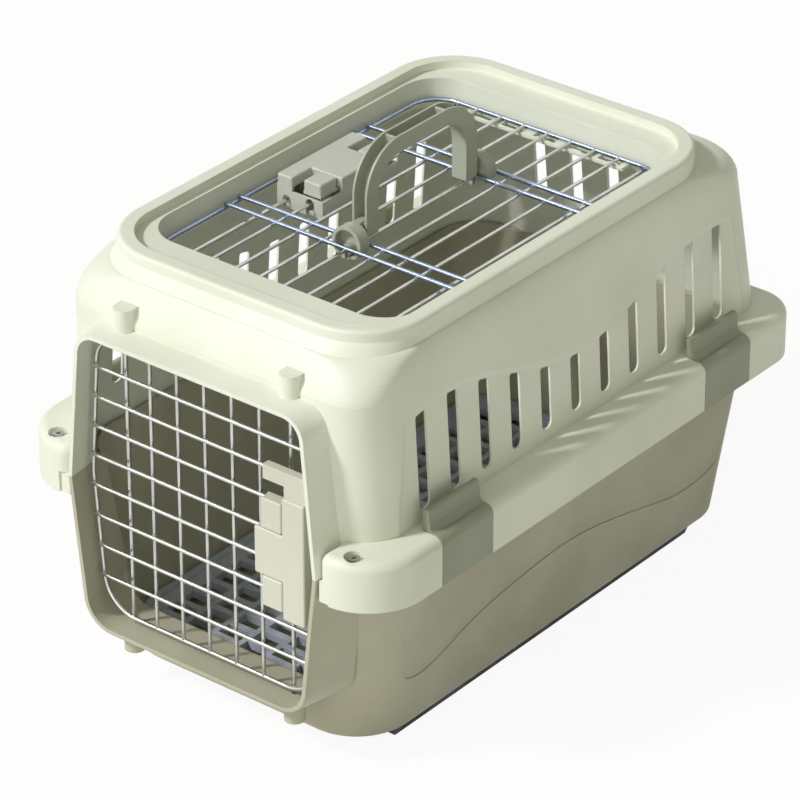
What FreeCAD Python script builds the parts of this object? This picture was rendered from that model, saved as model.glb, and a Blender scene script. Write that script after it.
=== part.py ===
import FreeCAD, Part
import math
import os
from collections import namedtuple

os.makedirs("parts", exist_ok=True)
Vector = FreeCAD.Vector

# Pet carrier: tray and upper shell, wire front door, wire roof door, clips and carry handle.
# X is the width with the right side positive, Y runs from the door to the rear, Z is up.
# The origin is under the middle of the carrier, on the surface that it stands on.

# Whole carrier
overall_length = 490.0
band_width = 325.0
runner_height = 5.0
base_height = 157.0
shell_height = 163.0
wall = 3.0
seam = 0.3
slip = 0.4
running = 0.05
weld_bite = 0.3
overrun = 5.0
joined = 0.001
round_steps = 12

# Tray
base_half_width = 136.0
base_front_inset = 32.0
base_rear_inset = 8.0
base_taper = 12.0
base_side_taper = 20.0
base_front_corner = 44.0
base_rear_corner = 34.0
base_edge_radius = 5.0
flange_drop = 9.0
floor_rib_height = 8.0
floor_rib_width = 3.0
floor_rib_spacing = 52.0
floor_rib_end_gap = 45.0
wing_reach = 26.0

# Wave relief on the long sides of the tray
relief_depth = 1.4
relief_step = 0.7
relief_bevel = 9.0
relief_front_inset = 69.0
relief_rear_inset = 31.0
relief_top = 142.0

# Upper shell
shell_gap = 1.5
shell_taper = 7.5
shell_rear_taper = 13.0
shell_front_inset = 23.0
shell_front_lean = 2.0
shell_front_corner = 40.0
shoulder_front_corner = 30.0
shoulder_rear_corner = 46.0
shoulder_height = 24.0
brow_height = 8.0
brow_curve_share = 1.4
rim_height = 16.0
rim_width = 252.0
rim_front_inset = 43.5
rim_rear_inset = 57.0
rim_corner = 52.0
rim_edge_radius = 3.0
rim_lip = 11.5
ledge_drop = 6.0
ledge_side = 5.0
ledge_front = 25.5
ledge_rear = 22.0
skirt_depth = 29.0
well_corner = 30.0

# Band and ears
band_rise = 21.0
band_drop = 16.0
band_front_corner = 45.0
band_rear_corner = 32.0
band_edge_radius = 7.0
ear_setback = 0.5
ear_gap = 1.0
ear_corner = 8.0
tab_end = 119.0
tab_recess = 1.6
ear_screw_x = 130.7
ear_screw_inset = 13.8
screw_post_radius = 8.8
screw_shank_radius = 1.75
screw_head_radius = 4.2
screw_head_height = 3.2
screw_recess_radius = 6.8
screw_recess_depth = 4.2
screw_bite = 12.0

# Slots and their recessed panel
slot_count = 11
slot_pitch = 33.6
slot_width = 11.0
slot_shift = 3.6
slot_bottom = 191.0
slot_end_radius = 2.0
wave_middle = 249.0
wave_rise = 15.5
wave_length = 298.0
wave_shift = 9.0
panel_depth = 1.3
panel_step = 0.5
panel_bevel = 4.0
panel_points = 12
panel_margin = 5.0
panel_end = 178.0
panel_end_lean = 12.0
panel_end_round = 9.0
rear_slot_count = 5
rear_slot_length = 62.0

# Door collar
collar_top_half = 98.5
collar_middle_half = 109.5
collar_bottom_half = 97.0
collar_rise = 117.5
collar_fall = 115.0
collar_top_radius = 18.0
collar_bottom_radius = 24.0
collar_side_flare = 6.0
collar_top_flare = 4.0
collar_bottom_flare = 3.0
socket_radius = 7.5
socket_top_height = 16.0
socket_block = 13.0
socket_bottom_depth = 18.0

# Door wires
door_inset = 15.0
door_pitch = 24.0
door_row_pitch = 23.6
door_rows = 8
door_top_row_rise = 85.0
cross_radius = 1.4
upright_radius = 1.4
frame_radius = 1.6
rod_radius = 1.6
frame_top_half = 94.5
frame_middle_half = 102.5
frame_bottom_half = 93.5
frame_rise = 109.0
frame_fall = 108.0
frame_top_bend = 20.0
frame_bottom_bend = 28.0
socket_bite = 8.0
bolt_draw = 2.0

# Latch on the door and on the roof door, along the slide, across it and outwards
latch_link_start = 15.0
latch_link_length = 8.0
latch_link_half = 4.0
latch_link_back = 3.0
latch_guide_start = 33.2
latch_guide_length = 6.0
latch_guide_half = 4.5
latch_guide_top = 3.2
latch_stop_half = 4.0
latch_tongue = 2.4
latch_cover = 3.0
latch_back_gap = 3.2
latch_back_thick = 3.0
latch_edge_radius = 1.6
latch_post_radius = 3.5
latch_screw_radius = 1.25
latch_screw_head = 2.4
latch_screw_head_height = 1.4
latch_screw_bite = 8.0
spring_wire = 0.4
spring_radius = 2.2
spring_turns = 6
spring_sides = 8

# Door latch places along and across the slide
door_latch_front = 17.2
door_latch_half = 47.0
door_wing_half = 18.0
door_knob_start = 18.6
door_knob_end = 42.0
door_post_spread = 41.5
door_column_near = 5.0
door_column_far = 24.0
door_knob_far = 13.0
door_wing_far = 19.0
door_bracket_start = 55.0
door_bracket_length = 11.0
door_post_side = 14.5

# Roof door wires
roof_drop = 21.5
roof_pitch = 21.0
roof_long_radius = 1.3
roof_wall_gap = 2.4
roof_frame_bend = 24.0
pair_gap = 14.5
handle_span = 141.5
handle_shift = 2.0
shelf_width = 12.5
shelf_thick = 2.6
shelf_windows = 5
shelf_window_length = 19.0
shelf_window_width = 7.0

# Roof latch places along and across the slide
roof_latch_shift = -1.0
roof_latch_top = 18.6
roof_latch_half = 41.5
roof_wing_half = 20.0
roof_knob_start = 20.6
roof_knob_end = 38.6
roof_column_near = 8.5
roof_column_far = 5.0
roof_knob_near = 13.0
roof_knob_far = 28.5
roof_wing_far = 32.6
roof_post_near = 11.5
roof_post_far = 26.5
roof_post_spread = 9.0
roof_skirt = 2.0
roof_arch = 3.6
saddle_half = 12.0
saddle_wall = 1.8

# Carry handle
handle_height = 69.0
handle_leg_span = 110.0
handle_half = 6.4
handle_depth = 12.5
handle_skin = 1.8
handle_bend = 36.0
handle_foot = 11.0
neck_half = 3.0
neck_rise = 11.0
neck_height = 6.0
hub_radius = 12.4
hub_rise = 5.0
hub_gap = 0.6
hub_wall = 2.6
hub_recess = 6.0
hub_boss = 4.2
hub_mouth = 2.2
rib_spacing = 54.0
rib_thick = 2.0

# Side clips
clip_width = 54.0
clip_inset = 95.0
clip_thick = 3.2
clip_proud = 0.2
clip_tab_rise = 16.0
clip_tab_thick = 5.6
clip_tab_round = 2.4
clip_tab_lean = 1.5
clip_reach = 16.5
clip_roll_radius = 6.5
clip_crease_radius = 4.5
clip_pin_radius = 2.0
clip_pin_rise = 4.5
clip_pin_inset = 6.8
clip_barrel_radius = 3.0
clip_lug_radius = 3.3
clip_lug_width = 6.0
clip_pocket = 10.5
clip_hook_height = 15.0
clip_pad = 4.0

# Foot runners
runner_half = 112.0
runner_width = 14.0
runner_front_inset = 80.0
runner_rear_inset = 63.0
runner_chamfer = 5.0

# Floor grate
grate_thick = 9.0
grate_edge = 5.0
grate_gap = 3.0
grate_columns = 8
grate_rows = 22
grate_bar = 4.5
grate_slat = 5.5

# Levels and places that follow from the sizes above
parting_z = runner_height + base_height
rim_top = parting_z + shell_height
rim_base = rim_top - rim_height
shoulder_z = rim_base - shoulder_height
lip_y = -overall_length / 2
rear_y = overall_length / 2
band_half = band_width / 2
band_top = parting_z + band_rise
band_bottom = parting_z - band_drop
flange_top = parting_z - flange_drop
base_front = lip_y + base_front_inset
base_rear = rear_y - base_rear_inset
nest = shell_gap + wall
shell_half = base_half_width + nest
shell_front = lip_y + shell_front_inset
shell_rear = base_rear + nest
shell_rear_corner = base_rear_corner + nest
rim_half = rim_width / 2
rim_front = lip_y + rim_front_inset
rim_rear = rear_y - rim_rear_inset
recess_half = rim_half - rim_lip
recess_front = rim_front + rim_lip
recess_rear = rim_rear - rim_lip
recess_corner = rim_corner - rim_lip
well_half = recess_half - ledge_side
well_front = recess_front + ledge_front
well_rear = recess_rear - ledge_rear
ledge_z = rim_top - ledge_drop
skirt_bottom = rim_top - skirt_depth
collar_back = rim_front + wall / 2
collar_depth = collar_back - lip_y
collar_top = parting_z + collar_rise
collar_bottom = parting_z - collar_fall
cross_y = lip_y + door_inset
frame_y = cross_y + cross_radius + frame_radius - weld_bite
rod_y = frame_y + frame_radius + rod_radius - weld_bite
bolt_y = frame_y + frame_radius + rod_radius + seam
rod_x = 3 * door_pitch
rod_share = (rod_y - lip_y) / collar_depth
socket_ceiling = collar_top - wall + collar_top_flare * rod_share
socket_floor = collar_bottom + wall - collar_bottom_flare * rod_share
socket_top = socket_ceiling + wall + socket_top_height
socket_bottom = socket_floor - wall - socket_bottom_depth
bore_radius = rod_radius + running
first_row = parting_z + door_top_row_rise
frame_top = parting_z + frame_rise
frame_bottom = parting_z - frame_fall
roof_z = rim_top - roof_drop
roof_rod_z = roof_z - frame_radius - rod_radius + weld_bite
roof_bolt_z = roof_z - frame_radius - rod_radius - seam
roof_rod_x = 4 * roof_pitch
roof_frame_half = well_half - roof_wall_gap - frame_radius
roof_frame_front = well_front + roof_wall_gap + frame_radius
roof_frame_rear = well_rear - roof_wall_gap - frame_radius
roof_cross_z = roof_z + roof_long_radius + frame_radius - weld_bite
handle_front = -handle_span / 2 - handle_shift
handle_rear = handle_span / 2 - handle_shift
screw_y = lip_y + ear_screw_inset
floor_z = runner_height + wall
ear_end = collar_middle_half + ear_gap
relief_front = lip_y + relief_front_inset
relief_rear = rear_y - relief_rear_inset
runner_front = lip_y + runner_front_inset
runner_rear = rear_y - runner_rear_inset
clip_centre = rear_y - clip_inset
clip_face = band_half + clip_proud
clip_inner = clip_face - clip_thick
clip_axis_x = band_half - clip_pin_inset
clip_axis_z = band_bottom + clip_pin_rise
clip_lid = band_top + clip_proud - clip_thick
latch_floor = bolt_y - cross_y + cross_radius + slip
channel_top = latch_floor + latch_tongue + slip


# Helpers
def box(x0, x1, y0, y1, z0, z1):
    return Part.makeBox(x1 - x0, y1 - y0, z1 - z0, Vector(x0, y0, z0))


def rod(start, end, radius):
    run = end - start
    return Part.makeCylinder(radius, run.Length, start, run)


def fused(shapes):
    shapes = list(shapes)
    if len(shapes) == 1:
        return shapes[0]
    return shapes[0].multiFuse(shapes[1:]).removeSplitter()


def rounded_outline(points, radii, place):
    """Closed wire through points in a plane, each corner rounded by its radius."""
    edges = []
    ends = []
    count = len(points)
    for i in range(count):
        before = points[i - 1]
        here = points[i]
        after = points[(i + 1) % count]
        back = (before[0] - here[0], before[1] - here[1])
        ahead = (after[0] - here[0], after[1] - here[1])
        back_length = math.hypot(back[0], back[1])
        ahead_length = math.hypot(ahead[0], ahead[1])
        back = (back[0] / back_length, back[1] / back_length)
        ahead = (ahead[0] / ahead_length, ahead[1] / ahead_length)
        opening = math.acos(back[0] * ahead[0] + back[1] * ahead[1])
        radius = radii[i]
        if radius == 0:
            ends.append((place(here[0], here[1]), None, place(here[0], here[1])))
            continue
        tangent = radius / math.tan(opening / 2)
        middle = (back[0] + ahead[0], back[1] + ahead[1])
        middle_length = math.hypot(middle[0], middle[1])
        depth = radius / math.sin(opening / 2) - radius
        start = place(here[0] + back[0] * tangent, here[1] + back[1] * tangent)
        pull = depth / middle_length
        centre = place(here[0] + middle[0] * pull, here[1] + middle[1] * pull)
        end = place(here[0] + ahead[0] * tangent, here[1] + ahead[1] * tangent)
        ends.append((start, centre, end))
    for i in range(count):
        start, centre, end = ends[i]
        if centre is not None:
            edges.append(Part.Arc(start, centre, end).toShape())
        following = ends[(i + 1) % count][0]
        if (following - end).Length > joined:
            edges.append(Part.LineSegment(end, following).toShape())
    return Part.Wire(edges)


def plate(points, radii, place, push):
    return Part.Face(rounded_outline(points, radii, place)).extrude(push)


def plan(half, front, rear, front_corner, rear_corner, z):
    """Rounded rectangle at height z."""
    points = [(-half, front), (half, front), (half, rear), (-half, rear)]
    radii = [front_corner, front_corner, rear_corner, rear_corner]
    return rounded_outline(points, radii, lambda x, y: Vector(x, y, z))


def block(half, front, rear, front_corner, rear_corner, z0, z1):
    wire = plan(half, front, rear, front_corner, rear_corner, z0)
    return Part.Face(wire).extrude(Vector(0, 0, z1 - z0))


def loft(wires):
    return Part.makeLoft(wires, True, True)


def mirrored(shape):
    return shape.mirror(Vector(0, 0, 0), Vector(1, 0, 0))


def bent_loop(points, bends, radius, place):
    """Round wire along a closed outline with bent corners."""
    outline = rounded_outline(points, bends, place)
    pieces = []
    for edge in outline.Edges:
        start = edge.valueAt(edge.FirstParameter)
        along = edge.tangentAt(edge.FirstParameter)
        face = Part.Face(Part.Wire(Part.makeCircle(radius, start, along)))
        if isinstance(edge.Curve, Part.Circle):
            turn = math.degrees(edge.LastParameter - edge.FirstParameter)
            axis = edge.Curve.Axis
            pieces.append(face.revolve(edge.Curve.Center, axis, turn))
        else:
            pieces.append(face.extrude(along * edge.Length))
    return fused(pieces)


# Tray
def base_plan(inset, z):
    """Outline of the tray at height z, drawn in by inset."""
    fall = (parting_z - z) / base_height
    lean = base_taper * fall
    half = base_half_width - base_side_taper * fall - inset
    return plan(half, base_front + lean + inset, base_rear - lean - inset,
                base_front_corner - inset, base_rear_corner - inset, z)


def base_solid(inset, top):
    """Tray body with a rounded lower edge."""
    low = runner_height + inset
    radius = base_edge_radius - inset
    outlines = []
    for i in range(round_steps + 1):
        turn = math.pi / 2 * i / round_steps
        draw = radius * (1 - math.sin(turn))
        outlines.append(base_plan(inset + draw, low + radius * (1 - math.cos(turn))))
    outlines.append(base_plan(inset, top))
    return loft(outlines)


def collar_outline(share, inset):
    """Door collar outline at a share of its depth behind the lip."""
    y = lip_y + collar_depth * share
    side = collar_side_flare * share - inset
    top = collar_top + collar_top_flare * share - inset
    bottom = collar_bottom - collar_bottom_flare * share + inset
    top_half = collar_top_half + side
    middle_half = collar_middle_half + side
    bottom_half = collar_bottom_half + side
    points = [(-top_half, top), (top_half, top), (middle_half, parting_z)]
    points += [(bottom_half, bottom), (-bottom_half, bottom), (-middle_half, parting_z)]
    top_radius = collar_top_radius - inset
    bottom_radius = collar_bottom_radius - inset
    radii = [top_radius, top_radius, 0, bottom_radius, bottom_radius, 0]
    return rounded_outline(points, radii, lambda x, z: Vector(x, y, z))


collar = loft([collar_outline(0, 0), collar_outline(1, 0)])
tunnel_start_share = -0.12
tunnel_end_share = 1.25
tunnel = loft([collar_outline(tunnel_start_share, wall), collar_outline(tunnel_end_share, wall)])
far = overall_length
below = box(-far, far, -far, far, -far, parting_z - seam / 2)
above = box(-far, far, -far, far, parting_z + seam / 2, far)


def wave_outline(places):
    """Closed wire: a smooth line through all places but the last two, which are plain corners."""
    line = Part.BSplineCurve()
    line.interpolate(places[:-2])
    edges = [line.toShape()]
    route = places[-3:] + places[:1]
    for i in range(len(route) - 1):
        edges.append(Part.LineSegment(route[i], route[i + 1]).toShape())
    return Part.Wire(edges)


def relief_wire(draw, out):
    """Outline of the relief on the right side, drawn in by draw and pushed out from the wall by out."""
    front = relief_front + draw
    rear = relief_rear - draw
    span = rear - front
    top = relief_top
    shares = [(0.0, 0.62), (0.005, 0.46), (0.025, 0.36), (0.065, 0.325), (0.12, 0.35), (0.19, 0.42),
              (0.27, 0.475), (0.38, 0.515), (0.47, 0.53), (0.62, 0.48), (0.76, 0.385), (0.86, 0.335),
              (0.95, 0.37), (1.0, 0.45)]
    points = [(front + span * a, top * b + draw) for a, b in shares]
    points += [(rear, top), (front, top)]

    def on_wall(y, z):
        return Vector(base_half_width - base_side_taper * (parting_z - z) / base_height + out, y, z)

    return wave_outline([on_wall(y, z) for y, z in points])


def relief_cutter():
    """Shallow panel with sloping edges on both long sides, with a wave for its lower edge."""
    floor = relief_wire(relief_bevel, -relief_depth)
    cutter = loft([floor, relief_wire(0, -relief_step), relief_wire(0, overrun)])
    return cutter.fuse(mirrored(cutter))


def clip_lugs():
    """Two lugs on the tray flange for one right-hand clip at the middle of the length."""
    lugs = []
    barrel_half = clip_width / 2 - clip_lug_width - 2 * slip
    for side in (-1, 1):
        inner_end = side * (barrel_half + slip)
        y0 = min(inner_end, inner_end + side * clip_lug_width)
        y1 = y0 + clip_lug_width
        start = Vector(clip_axis_x, y0, clip_axis_z)
        end = Vector(clip_axis_x, y1, clip_axis_z)
        ring = rod(start, end, clip_lug_radius)
        arm = box(base_half_width - wall / 2, clip_axis_x, y0, y1, flange_top - wall, flange_top)
        reach = Vector(0, overrun, 0)
        bore = rod(start - reach, end + reach, clip_pin_radius + running)
        lugs.append(ring.fuse(arm).cut(bore))
    return lugs


def make_base_shell():
    shell = base_solid(0, parting_z - seam / 2)
    flange_inset = wall + slip
    flange = block(band_half - flange_inset, lip_y + ear_setback + flange_inset, rear_y - flange_inset,
                   band_front_corner - flange_inset, band_rear_corner - flange_inset,
                   flange_top - wall, flange_top)
    wing_start = tab_end + wall + slip
    flange = flange.cut(box(-wing_start, wing_start, -far, base_front + wall, -far, far))
    clip_gap = clip_width + 2 * slip
    for y in (-clip_centre, clip_centre):
        for side in (-1, 1):
            x0 = band_half - clip_pocket - slip
            edge = sorted([side * x0, side * far])
            flange = flange.cut(box(edge[0], edge[1], y - clip_gap / 2, y + clip_gap / 2, -far, far))
    wings = []
    ear_room = block(band_half - flange_inset, lip_y + ear_setback + flange_inset, rear_y,
                     band_front_corner - flange_inset, 0, band_bottom, parting_z - seam / 2)
    for side in (-1, 1):
        edge = sorted([side * wing_start, side * (tab_end + wing_reach)])
        wing = box(edge[0], edge[1], -far, base_front + wall, -far, far)
        wings.append(wing.common(ear_room))
    pegs = []
    for x, y in ((-rod_x, rod_y), (rod_x, bolt_y)):
        pegs.append(rod(Vector(x, y, socket_bottom), Vector(x, y, socket_floor), socket_radius))
    shell = shell.multiFuse([flange, collar.common(below)] + wings + pegs)
    shell = shell.cut(relief_cutter())
    shell = shell.cut(base_solid(wall, parting_z + overrun))
    shell = shell.cut(tunnel)
    ribs = []
    for step in (-1.5, -0.5, 0.5, 1.5):
        x = step * floor_rib_spacing
        ribs.append(box(x - floor_rib_width / 2, x + floor_rib_width / 2, base_front + floor_rib_end_gap,
                        base_rear - floor_rib_end_gap, floor_z - wall / 2, floor_z + floor_rib_height))
    lugs = []
    for y in (-clip_centre, clip_centre):
        for lug in clip_lugs():
            placed = lug.translated(Vector(0, y, 0))
            lugs.append(placed)
            lugs.append(mirrored(placed))
    shell = shell.multiFuse(ribs + lugs)
    cuts = []
    for x, y in ((-rod_x, rod_y), (rod_x, bolt_y)):
        deep = socket_floor - socket_bite - bolt_draw
        cuts.append(rod(Vector(x, y, deep), Vector(x, y, socket_floor + wall), bore_radius))
    for side in (-1, 1):
        cuts.append(rod(Vector(side * ear_screw_x, screw_y, parting_z - screw_bite - overrun),
                        Vector(side * ear_screw_x, screw_y, parting_z + overrun), screw_shank_radius))
    return shell.cut(Part.makeCompound(cuts)).removeSplitter()


# Upper shell
def shell_plan(inset, z):
    """Outline of the upper shell's wall at height z, drawn in by inset."""
    share = (z - parting_z) / (shoulder_z - parting_z)
    lean = shell_taper * share
    front_corner = shell_front_corner + (shoulder_front_corner - shell_front_corner) * share
    rear_corner = shell_rear_corner + (shoulder_rear_corner - shell_rear_corner) * share
    return plan(shell_half - lean - inset, shell_front - shell_front_lean * share + inset,
                shell_rear - shell_rear_taper * share - inset, front_corner - inset, rear_corner - inset, z)


def brow_front(rise):
    """Front of the shell at a rise above the shoulder's start, sloping back to the rim."""
    start = shell_front - shell_front_lean
    share = rise / (shoulder_height + brow_height)
    return start + (rim_front - start) * share ** brow_curve_share


def shoulder_plan(inset, turn):
    """Outline in the rounded shoulder between the wall and the roof rim."""
    out = math.cos(turn)
    up = math.sin(turn)
    half = rim_half + (shell_half - shell_taper - rim_half) * out - inset
    rear = rim_rear + (shell_rear - shell_rear_taper - rim_rear) * out - inset
    front_corner = rim_corner + (shoulder_front_corner - rim_corner) * out - inset
    rear_corner = rim_corner + (shoulder_rear_corner - rim_corner) * out - inset
    return plan(half, brow_front(up * shoulder_height) + inset, rear, front_corner, rear_corner,
                shoulder_z - inset + shoulder_height * up)


def shell_solid(inset, bottom):
    """Walls from the bottom up, with the rounded shoulder above them."""
    outlines = [shell_plan(inset, bottom)]
    for i in range(round_steps + 1):
        outlines.append(shoulder_plan(inset, math.pi / 2 * i / round_steps))
    return loft(outlines)


def wave_height(y):
    """Upper edge of the slots along the side."""
    return wave_middle + wave_rise * math.cos(2 * math.pi * (y - wave_shift) / wave_length + math.pi)


def side_slots():
    slots = []
    for i in range(slot_count):
        y = (i - (slot_count - 1) / 2) * slot_pitch + slot_shift
        left = y - slot_width / 2
        right = y + slot_width / 2
        points = [(left, slot_bottom), (right, slot_bottom)]
        points += [(right, wave_height(right)), (left, wave_height(left))]
        round_end = slot_width / 2 - seam
        radii = [round_end, round_end, slot_end_radius, slot_end_radius]
        slots.append(plate(points, radii, lambda a, b: Vector(-far, a, b), Vector(2 * far, 0, 0)))
    return slots


def rear_slots():
    slots = []
    start = slot_bottom + slot_width
    for i in range(rear_slot_count):
        x = (i - (rear_slot_count - 1) / 2) * slot_pitch
        left = x - slot_width / 2
        right = x + slot_width / 2
        end = start + rear_slot_length
        points = [(left, start), (right, start), (right, end), (left, end)]
        radii = [slot_width / 2 - seam] * len(points)
        deep = shell_rear - 2 * nest - shell_rear_taper
        slots.append(plate(points, radii, lambda a, b: Vector(a, deep, b), Vector(0, far, 0)))
    return slots


def panel_wire(draw, out):
    """Outline of the slot panel on the right wall, drawn in by draw and pushed out from the wall by out."""
    reach = panel_end - draw
    points = []
    for i in range(panel_points + 1):
        y = slot_shift + reach * (2 * i / panel_points - 1)
        points.append((y, wave_height(y) + panel_margin - draw))
    ends = []
    for y, z in (points[0], points[-1]):
        bend = math.copysign(panel_end_round, y - slot_shift)
        ends.append([(y + bend * math.sin(turn), z - panel_end_round * (1 - math.cos(turn)))
                     for turn in (math.pi / 6, math.pi / 3, math.pi / 2)])
    points = ends[0][::-1] + points + ends[1]
    low = band_top + seam
    first = points[0]
    last = points[-1]
    points += [(last[0] + panel_end_lean, low), (first[0] - panel_end_lean, low)]
    slope = shell_taper / (shoulder_z - parting_z)
    places = [Vector(shell_half - slope * (z - parting_z) + out, y, z) for y, z in points]
    return wave_outline(places)


def panel_cutter():
    """Shallow panel round the slots on both long sides, with the wave for its upper edge and round ends."""
    floor = panel_wire(panel_bevel, -panel_depth)
    cutter = loft([floor, panel_wire(0, -panel_step), panel_wire(0, overrun)])
    return [cutter, mirrored(cutter)]


def make_top_shell():
    wall_bottom = flange_top + seam
    body = shell_solid(0, wall_bottom)
    rim = block(rim_half, rim_front, rim_rear, rim_corner, rim_corner, rim_base, rim_top)
    top_edges = [edge for edge in rim.Edges if edge.BoundBox.ZMin > rim_top - seam]
    rim = rim.makeFillet(rim_edge_radius, top_edges)
    brow_start = shoulder_height - wall
    brow_half = rim_half - seam
    brow_edge = brow_front(brow_start) + seam
    brow_low = plan(brow_half, brow_edge, 0, rim_corner - wall, rim_corner, rim_base - wall)
    brow_high = plan(brow_half, rim_front + seam, 0, rim_corner, rim_corner, rim_base + brow_height)
    brow = loft([brow_low, brow_high])
    ear_front = lip_y + ear_setback
    band = block(band_half, ear_front, rear_y, band_front_corner, band_rear_corner, band_bottom, band_top)
    band = band.cut(box(-ear_end, ear_end, -far, shell_front + wall, -far, far))
    ear_edges = [edge for edge in band.Edges if edge.BoundBox.ZLength > band_rise
                 and edge.BoundBox.YMax < shell_front and abs(edge.CenterOfMass.x) < ear_end + seam]
    band = band.makeFillet(ear_corner, ear_edges)
    band_edges = [edge for edge in band.Edges if edge.BoundBox.ZMin > band_top - seam]
    band = band.makeFillet(band_edge_radius, band_edges)
    hollow = block(band_half - wall, lip_y + ear_setback + wall, rear_y - wall, band_front_corner - wall,
                   band_rear_corner - wall, band_bottom - overrun, band_top - wall)
    band_room = hollow.common(box(-far, far, -far, far, -far, parting_z + seam / 2))
    hollow_end = tab_end + wall
    hollow = hollow.cut(box(-hollow_end, hollow_end, -far, shell_front + wall, -far, far))
    hollow = hollow.cut(body)
    hollow = hollow.cut(collar)
    band = band.cut(hollow)
    tab_front = ear_front + tab_recess
    band = band.cut(box(-tab_end, tab_end, -far, tab_front, -far, parting_z + seam / 2))
    tabs = []
    for side in (-1, 1):
        edge = sorted([side * ear_end, side * tab_end])
        tabs.append(box(edge[0], edge[1], tab_front, shell_front + wall, band_bottom, parting_z + seam / 2))
    band = fused([band] + tabs)
    posts = []
    pads = []
    sockets = []
    for side in (-1, 1):
        posts.append(rod(Vector(side * ear_screw_x, screw_y, parting_z + seam),
                         Vector(side * ear_screw_x, screw_y, band_top - wall / 2), screw_post_radius))
        for y in (-clip_centre, clip_centre):
            half_pad = clip_width / 2 + slip + clip_pad
            edge = sorted([side * (band_half - clip_reach - wall), side * (band_half - band_edge_radius)])
            pads.append(box(edge[0], edge[1], y - half_pad, y + half_pad,
                            flange_top + seam, band_top - wall / 2))
    for x, y in ((-rod_x, rod_y), (rod_x, bolt_y)):
        low = socket_ceiling - wall
        tower = rod(Vector(x, y, low), Vector(x, y, socket_top), socket_radius)
        back = box(x - socket_radius, x + socket_radius, y, y + socket_block, low, socket_top)
        sockets.append(tower.fuse(back))
    upper_collar = collar.common(above)
    shell = body.fuse(rim).fuse(brow).fuse(band).fuse(upper_collar)
    shell = shell.multiFuse(posts + pads + sockets)
    cavity = shell_solid(wall, band_bottom - 2 * overrun)
    channel = block(rim_half - wall, rim_front + wall, rim_rear - wall, rim_corner - wall, rim_corner - wall,
                    rim_base - 2 * wall, rim_top - wall)
    shell = shell.cut(cavity.fuse(channel))
    shell = shell.cut(tunnel)
    collar_room = loft([collar_outline(tunnel_start_share, -slip), collar_outline(tunnel_end_share, -slip)])
    shell = shell.cut(collar_room.common(box(-far, far, -far, far, -far, parting_z + seam / 2)))
    tub_corner = recess_corner + wall
    well_wall = [block(recess_half + wall, recess_front - wall, recess_rear + wall, tub_corner, tub_corner,
                       ledge_z - wall, rim_top - wall / 2)]
    well_wall.append(block(well_half + wall, well_front - wall, well_rear + wall, well_corner + wall,
                           well_corner + wall, skirt_bottom, ledge_z - wall / 2))
    shell = shell.multiFuse(well_wall)
    shell = shell.cut(block(recess_half, recess_front, recess_rear, recess_corner, recess_corner,
                            ledge_z, rim_top + overrun))
    shell = shell.cut(block(well_half, well_front, well_rear, well_corner, well_corner,
                            skirt_bottom - overrun, ledge_z + overrun))
    shell = shell.multiFuse(roof_shelves())
    for cutter in panel_cutter() + side_slots() + rear_slots():
        shell = shell.cut(cutter)
    cuts = []
    for x, y in ((-rod_x, rod_y), (rod_x, bolt_y)):
        cuts.append(rod(Vector(x, y, socket_ceiling - 2 * wall),
                        Vector(x, y, socket_ceiling + socket_bite + bolt_draw), bore_radius))
    for x, z in ((roof_rod_x, roof_rod_z), (-roof_rod_x, roof_bolt_z)):
        start = Vector(x, well_front - 2 * wall, z)
        cuts.append(rod(start, Vector(x, well_rear + 2 * wall, z), bore_radius))
    for side in (-1, 1):
        wing = sorted([side * (tab_end + wall), side * (tab_end + wing_reach + slip)])
        wing_room = box(wing[0], wing[1], -far, base_front + wall + slip, -far, far)
        cuts.append(wing_room.common(band_room))
        x = side * ear_screw_x
        end = Vector(x, screw_y, band_top + overrun)
        cuts.append(rod(Vector(x, screw_y, parting_z - overrun), end, screw_shank_radius + running))
        cuts.append(rod(Vector(x, screw_y, band_top - screw_recess_depth), end, screw_recess_radius))
        for y in (-clip_centre, clip_centre):
            gap = clip_width / 2 + slip
            skin = sorted([side * (clip_inner - slip), side * far])
            cuts.append(box(skin[0], skin[1], y - gap, y + gap, band_bottom - overrun, band_top + overrun))
            pocket = sorted([side * (band_half - clip_pocket), side * far])
            cuts.append(box(pocket[0], pocket[1], y - gap, y + gap, band_bottom - overrun,
                            clip_lid - clip_hook_height))
            lid = sorted([side * (band_half - clip_reach - slip), side * far])
            cuts.append(box(lid[0], lid[1], y - gap, y + gap, clip_lid - slip, band_top + overrun))
    return shell.cut(Part.makeCompound(cuts)).removeSplitter()


def roof_shelves():
    """Front and rear shelf under the roof door's frame, each with a row of windows."""
    shelves = []
    half = roof_rod_x - shelf_width
    top = roof_z - frame_radius - seam
    pitch = 2 * half / shelf_windows
    for start, direction in ((well_front, 1), (well_rear, -1)):
        edge = sorted([start - direction * wall / 2, start + direction * shelf_width])
        shelf = box(-half, half, edge[0], edge[1], top - shelf_thick, top)
        middle = start + direction * (shelf_width / 2 + slip)
        for i in range(shelf_windows):
            x = (i - (shelf_windows - 1) / 2) * pitch
            left = x - shelf_window_length / 2
            front = middle - shelf_window_width / 2
            right = left + shelf_window_length
            shelf = shelf.cut(box(left, right, front, front + shelf_window_width, -far, far))
        shelves.append(shelf)
    return shelves


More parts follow.
